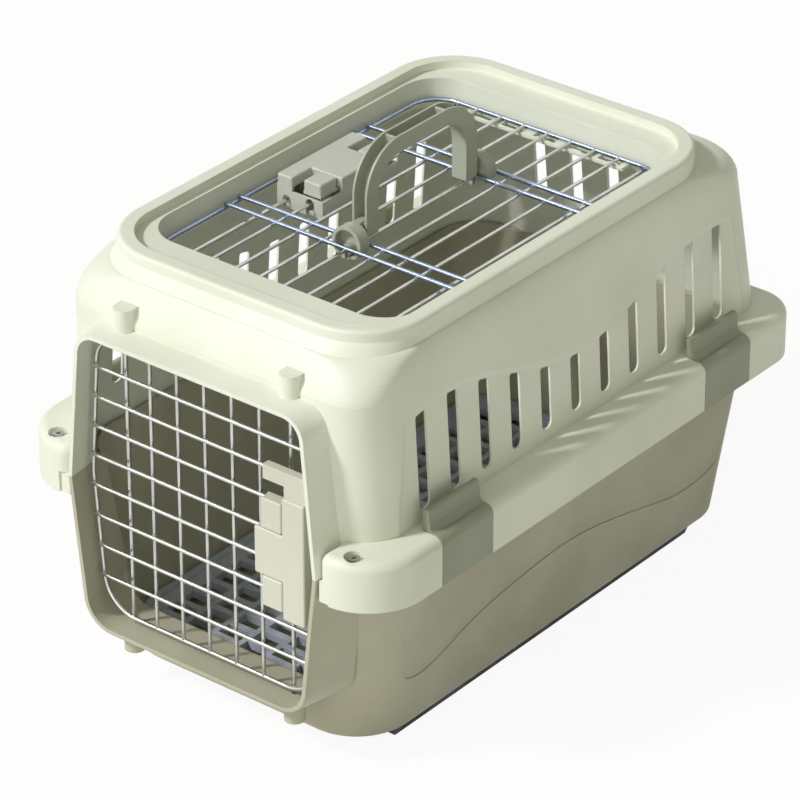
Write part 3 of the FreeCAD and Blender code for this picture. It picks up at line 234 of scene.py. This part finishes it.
# %% Foot rubber
rubber_ior = 1.52
patch_mm, pore_mm, rubber_detail = 12.0, 0.9, 2.0
stretch_along_strip = (1.0, 0.35, 1.0)
wear_begins, wear_full = 0.48, 0.6
pore_depth_mm, pore_strength = 0.2, 0.3
rubber_smoothest, rubber_roughest = 0.7, 0.9

foot_rubber = empty_material("worn_dark_rubber")
tree = foot_rubber.node_tree
place = add(tree, "ShaderNodeTexCoord").outputs["Object"]
long_way = add(tree, "ShaderNodeMapping", {"Vector": place, "Scale": stretch_along_strip})
patch = add(tree, "ShaderNodeTexNoise", {"Vector": long_way.outputs["Vector"],
                                         "Scale": per_metre(patch_mm), "Detail": rubber_detail})
paler_tone = add(tree, "ShaderNodeMapRange", {"Value": patch.outputs["Fac"],
                                        "From Min": wear_begins, "From Max": wear_full})
skin = add(tree, "ShaderNodeMix", {"Factor": paler_tone.outputs["Result"], "A": colour("#34322c"),
                                   "B": colour("#62606f")}, data_type="RGBA")
pores = add(tree, "ShaderNodeTexNoise", {"Vector": place, "Scale": per_metre(pore_mm),
                                         "Detail": rubber_detail})
bump = add(tree, "ShaderNodeBump", {"Height": pores.outputs["Fac"], "Strength": pore_strength,
                                    "Distance": pore_depth_mm * mm})
dull = add(tree, "ShaderNodeMapRange", {"Value": patch.outputs["Fac"],
                                        "To Min": rubber_smoothest, "To Max": rubber_roughest})
shader = add(tree, "ShaderNodeBsdfPrincipled", {"Base Color": skin.outputs["Result"],
                                                "Roughness": dull.outputs["Result"],
                                                "Normal": bump.outputs["Normal"],
                                                "IOR": rubber_ior})
add(tree, "ShaderNodeOutputMaterial", {"Surface": shader.outputs["BSDF"]})
print("rubber", foot_rubber.name)

# %% [markdown]
# Every solid of the frame keeps its shape and takes one of these finishes. A table from
# the start of a node's name to its finish keeps the list short. The first start that fits
# is taken, so longer starts stand before shorter ones.

# %% Dress the solids
finishes = {
    "top_shell": cream_shell, "base_shell": taupe_tray, "runner": foot_rubber,
    "floor_grate": blue_grate, "clip": grey_clip, "carry_handle": grey_handle,
    "ear_screws": screw_steel, "door_latch_screws": screw_steel,
    "door_latch": pale_latch, "door_slider": pale_latch,
    "roof_latch_screws": screw_steel, "roof_latch": roof_latch, "roof_slider": roof_latch,
    "door_spring": spring_steel, "roof_spring": spring_steel,
    "roof_frame_wire": blue_wire, "roof_cross_wires": blue_wire,
    "door": bright_wire, "roof": bright_wire,
}
for name, node in nodes.items():
    start = next(key for key in finishes if name.startswith(key))
    node.data.materials.clear()
    node.data.materials.append(finishes[start])
print("dressed", len(nodes), "nodes")

# %% [markdown]
# Welded wire shows a small squeezed bead wherever two wires cross. The crossing places
# are read from the frame: the wires of one node are apart from each other, so sorting one
# coordinate of their points and splitting at the gaps gives each wire's line.

# %% Find the wire lines
X, Y, Z = range(3)
least_gap = 2 * mm


def wire_lines(node, axis):
    """Middle of each separate wire of a node along one axis."""
    values = sorted(vertex.co[axis] for vertex in nodes[node].data.vertices)
    groups = [[values[0], values[0]]]
    for value in values:
        if value - groups[-1][1] > least_gap:
            groups.append([value, value])
        groups[-1][1] = value
    return [(low + high) / 2 for low, high in groups]


door_rows = wire_lines("door_cross_wires", Z)
door_columns = wire_lines("door_upright_wires", X)
roof_columns = wire_lines("roof_long_wires", X)
roof_rows = wire_lines("roof_cross_wires", Y)
print("door", len(door_rows), "by", len(door_columns))
print("roof", len(roof_columns), "by", len(roof_rows))

# %% [markdown]
# One small flattened bead is enough, repeated on points by Geometry Nodes. The tree takes
# the bead's radius and its flattening as named inputs, and the beads of each door are baked
# to one plain mesh that rides on that door.

# %% Weld bead tree
def bead_tree():
    tree = bpy.data.node_groups.new("weld_beads", "GeometryNodeTree")
    tree.interface.new_socket("Points", in_out="INPUT", socket_type="NodeSocketGeometry")
    tree.interface.new_socket("Bead radius", in_out="INPUT", socket_type="NodeSocketFloat")
    tree.interface.new_socket("Flattening", in_out="INPUT", socket_type="NodeSocketVector")
    tree.interface.new_socket("Finish", in_out="INPUT", socket_type="NodeSocketMaterial")
    tree.interface.new_socket("Beads", in_out="OUTPUT", socket_type="NodeSocketGeometry")
    given = tree.nodes.new("NodeGroupInput")
    ball = add(tree, "GeometryNodeMeshIcoSphere", {"Radius": given.outputs["Bead radius"],
                                                   "Subdivisions": 2})
    spread = add(tree, "GeometryNodeInstanceOnPoints", {"Points": given.outputs["Points"],
                                                        "Instance": ball.outputs["Mesh"],
                                                        "Scale": given.outputs["Flattening"]})
    real = add(tree, "GeometryNodeRealizeInstances", {"Geometry": spread.outputs["Instances"]})
    smooth = add(tree, "GeometryNodeSetShadeSmooth", {"Geometry": real.outputs["Geometry"]})
    dressed = add(tree, "GeometryNodeSetMaterial", {"Geometry": smooth.outputs["Geometry"],
                                                    "Material": given.outputs["Finish"]})
    add(tree, "NodeGroupOutput", {"Beads": dressed.outputs["Geometry"]})
    return tree


def baked(name, tree, inputs, points):
    """Plain mesh object made by a geometry tree from points and named inputs."""
    seed = bpy.data.meshes.new(name + "_points")
    seed.from_pydata(points, [], [])
    holder = bpy.data.objects.new(name, seed)
    bpy.context.scene.collection.objects.link(holder)
    modifier = holder.modifiers.new("tree", "NODES")
    modifier.node_group = tree
    for item in tree.interface.items_tree:
        if item.in_out == "INPUT" and item.name in inputs:
            modifier[item.identifier] = inputs[item.name]
    bpy.context.view_layer.update()
    evaluated = holder.evaluated_get(bpy.context.evaluated_depsgraph_get())
    shape = bpy.data.meshes.new_from_object(evaluated)
    holder.modifiers.clear()
    holder.data = shape
    return holder


beads = bead_tree()
print("bead inputs", [item.name for item in beads.interface.items_tree])

# %% [markdown]
# A bead sits between the two wires that it joins, so its depth is the mean of theirs. The
# squeeze of the welding tongs makes it wider than deep: on the front door the depth is y,
# on the roof door it is z.

# %% Weld beads on both doors
bead_radius = 1.25 * mm
squeeze = 1.25


def middle(node, axis):
    """Middle of a node's box along one axis."""
    low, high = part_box(node)
    return (low[axis] + high[axis]) / 2


door_depth = (middle("door_cross_wires", Y) + middle("door_upright_wires", Y)) / 2
door_points = [(x, door_depth, z) for x in door_columns for z in door_rows]
roof_level = (middle("roof_cross_wires", Z) + middle("roof_long_wires", Z)) / 2
roof_points = [(x, y, roof_level) for x in roof_columns for y in roof_rows]
door_beads = baked("door_weld_beads", beads,
                   {"Bead radius": bead_radius, "Flattening": (squeeze, 1.0, squeeze),
                    "Finish": bright_wire}, door_points)
roof_beads = baked("roof_weld_beads", beads,
                   {"Bead radius": bead_radius, "Flattening": (squeeze, squeeze, 1.0),
                    "Finish": blue_wire}, roof_points)
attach(door_beads, "front_door")
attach(roof_beads, "roof_door")
for piece in (door_beads, roof_beads):
    print(piece.name, len(piece.data.polygons), "faces")

# %% [markdown]
# Each bolt is pushed out by a small coil spring behind its knob. The frame holds a coarse
# octagon coil; here the same coil is a round wire swept along a spiral.

# %% Coil spring tree
steps_per_turn = 32
wire_sides = 12


def coil_tree():
    tree = bpy.data.node_groups.new("coil_spring", "GeometryNodeTree")
    tree.interface.new_socket("Points", in_out="INPUT", socket_type="NodeSocketGeometry")
    for name in ("Turns", "Coil radius", "Length", "Wire radius"):
        tree.interface.new_socket(name, in_out="INPUT", socket_type="NodeSocketFloat")
    tree.interface.new_socket("Finish", in_out="INPUT", socket_type="NodeSocketMaterial")
    tree.interface.new_socket("Coil", in_out="OUTPUT", socket_type="NodeSocketGeometry")
    given = tree.nodes.new("NodeGroupInput")
    path = add(tree, "GeometryNodeCurveSpiral", {"Resolution": steps_per_turn,
                                                 "Rotations": given.outputs["Turns"],
                                                 "Start Radius": given.outputs["Coil radius"],
                                                 "End Radius": given.outputs["Coil radius"],
                                                 "Height": given.outputs["Length"]})
    section = add(tree, "GeometryNodeCurvePrimitiveCircle",
                  {"Resolution": wire_sides, "Radius": given.outputs["Wire radius"]})
    tube = add(tree, "GeometryNodeCurveToMesh", {"Curve": path.outputs["Curve"],
                                                 "Profile Curve": section.outputs["Curve"],
                                                 "Fill Caps": True})
    real = add(tree, "GeometryNodeRealizeInstances", {"Geometry": tube.outputs["Mesh"]})
    smooth = add(tree, "GeometryNodeSetShadeSmooth", {"Geometry": real.outputs["Geometry"]})
    dressed = add(tree, "GeometryNodeSetMaterial", {"Geometry": smooth.outputs["Geometry"],
                                                    "Material": given.outputs["Finish"]})
    add(tree, "NodeGroupOutput", {"Coil": dressed.outputs["Geometry"]})
    return tree


coil = coil_tree()
print("coil inputs", [item.name for item in coil.interface.items_tree])

# %% [markdown]
# Each coil takes its width, length and place from the box of the coarse coil in the frame.
# It is made upright at the origin and then turned, in its mesh, to push its bolt outwards.

# %% Four latch springs
coil_turns = 6.0
spring_wire_radius = 0.4 * mm


def latch_spring(node, axis, outwards):
    """Round coil in a node's place, stretching from its stop on the door to the bolt's link."""
    low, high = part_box(node)
    across = (axis + 1) % 3
    coil_radius = (high[across] - low[across]) / 2 - spring_wire_radius
    length = high[axis] - low[axis]
    piece = baked("coil_" + node, coil, {"Turns": coil_turns, "Coil radius": coil_radius,
                                         "Length": length - 2 * spring_wire_radius,
                                         "Wire radius": spring_wire_radius,
                                         "Finish": spring_steel}, [])
    start = (low + high) / 2
    start[axis] = low[axis] if outwards > 0 else high[axis]
    end = start.copy()
    end[axis] += outwards * length
    direction = Vector((0, 0, 0))
    direction[axis] = outwards
    turn = direction.to_track_quat("Z", "Y").to_matrix().to_4x4()
    piece.data.transform(Matrix.Translation(start + direction * spring_wire_radius) @ turn)
    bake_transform(piece)
    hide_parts(node)
    return piece


springs = [latch_spring("door_spring_upper", Z, 1),
           latch_spring("door_spring_lower", Z, -1),
           latch_spring("roof_spring_front", Y, -1),
           latch_spring("roof_spring_rear", Y, 1)]
print("springs", [len(s.data.polygons) for s in springs])

# %% [markdown]
# The picture is a product shot on white. A big pale floor carries the shadow; seen
# directly, or in a bright wire, it glows almost white so that it melts into the background.
# The world does the same, so one helper tells both which rays look at them directly.

# %% Floor
floor_reach = 6.0
floor_glow = 0.93


def seen_directly(tree):
    """Output that is 1 for a ray from the camera, a mirror or clear glass, and else 0."""
    ray = add(tree, "ShaderNodeLightPath")
    seen = add(tree, "ShaderNodeMath", {0: ray.outputs["Is Camera Ray"],
                                        1: ray.outputs["Is Glossy Ray"]}, operation="MAXIMUM")
    clear = add(tree, "ShaderNodeMath", {0: seen.outputs[0],
                                         1: ray.outputs["Is Transmission Ray"]},
                operation="MAXIMUM")
    return clear.outputs[0]


floor_mesh = bpy.data.meshes.new("floor")
corners = [(-floor_reach, -floor_reach, 0), (floor_reach, -floor_reach, 0),
           (floor_reach, floor_reach, 0), (-floor_reach, floor_reach, 0)]
floor_mesh.from_pydata(corners, [], [(0, 1, 2, 3)])
floor = bpy.data.objects.new("floor", floor_mesh)
bpy.context.scene.collection.objects.link(floor)
paper = empty_material("white_paper_floor")
tree = paper.node_tree
matt = add(tree, "ShaderNodeBsdfDiffuse", {"Color": colour("#f4f4f0")})
glow = add(tree, "ShaderNodeEmission", {"Color": white, "Strength": 1.0})
share = add(tree, "ShaderNodeMath", {0: seen_directly(tree), 1: floor_glow}, operation="MULTIPLY")
surface = add(tree, "ShaderNodeMixShader", {0: share.outputs[0], 1: matt.outputs["BSDF"],
                                            2: glow.outputs["Emission"]})
add(tree, "ShaderNodeOutputMaterial", {"Surface": surface.outputs["Shader"]})
floor_mesh.materials.append(paper)
print("floor", 2 * floor_reach, "m wide")

# %% [markdown]
# One sun from the left front is the key; its small spread gives the shadows a slightly soft
# edge. A weaker and much softer one from the front lifts the tray and the inside, and an
# even pale sky fills the shaded side.

# %% Light
sky_strength = 0.29
lamps = {
    "key": {"towards": (-0.38, -0.62, 0.68), "energy": 2.3, "spread": 7.0, "tint": "#fdfdff"},
    "front": {"towards": (0.22, -0.92, 0.32), "energy": 0.55, "spread": 50.0, "tint": "#ffffff"},
}
world = bpy.data.worlds.new("studio")
bpy.context.scene.world = world
world.use_nodes = True
tree = world.node_tree
tree.nodes.clear()
fill = add(tree, "ShaderNodeBackground", {"Color": colour("#fbfde2"), "Strength": sky_strength})
backdrop = add(tree, "ShaderNodeBackground", {"Color": white, "Strength": 1.0})
sky = add(tree, "ShaderNodeMixShader", {0: seen_directly(tree), 1: fill.outputs["Background"],
                                        2: backdrop.outputs["Background"]})
add(tree, "ShaderNodeOutputWorld", {"Surface": sky.outputs["Shader"]})
for name, lamp in lamps.items():
    light = bpy.data.lights.new(name, "SUN")
    light.energy = lamp["energy"]
    light.angle = math.radians(lamp["spread"])
    light.color = colour(lamp["tint"])[:3]
    holder = bpy.data.objects.new(name, light)
    holder.rotation_euler = Vector(lamp["towards"]).to_track_quat("Z", "Y").to_euler()
    bpy.context.scene.collection.objects.link(holder)
    print(name, "from", lamp["towards"])

# %% [markdown]
# The camera stands to the right of the door and looks down at about thirty degrees from
# far away, so parallel edges stay nearly parallel, as they do in a catalogue picture.

# %% Camera
camera_place = (1.7494, -2.2091, 1.7563)
camera_tilt, camera_turn = math.radians(60.34), math.radians(38.62)
camera_data = bpy.data.cameras.new("camera")
camera_data.lens = 206.1
camera_data.sensor_width = 36.0
camera = bpy.data.objects.new("camera", camera_data)
camera.location = camera_place
camera.rotation_euler = (camera_tilt, 0, camera_turn)
bpy.context.scene.collection.objects.link(camera)
bpy.context.scene.camera = camera
bpy.context.scene.view_settings.view_transform = "Standard"
print("lens", camera_data.lens)
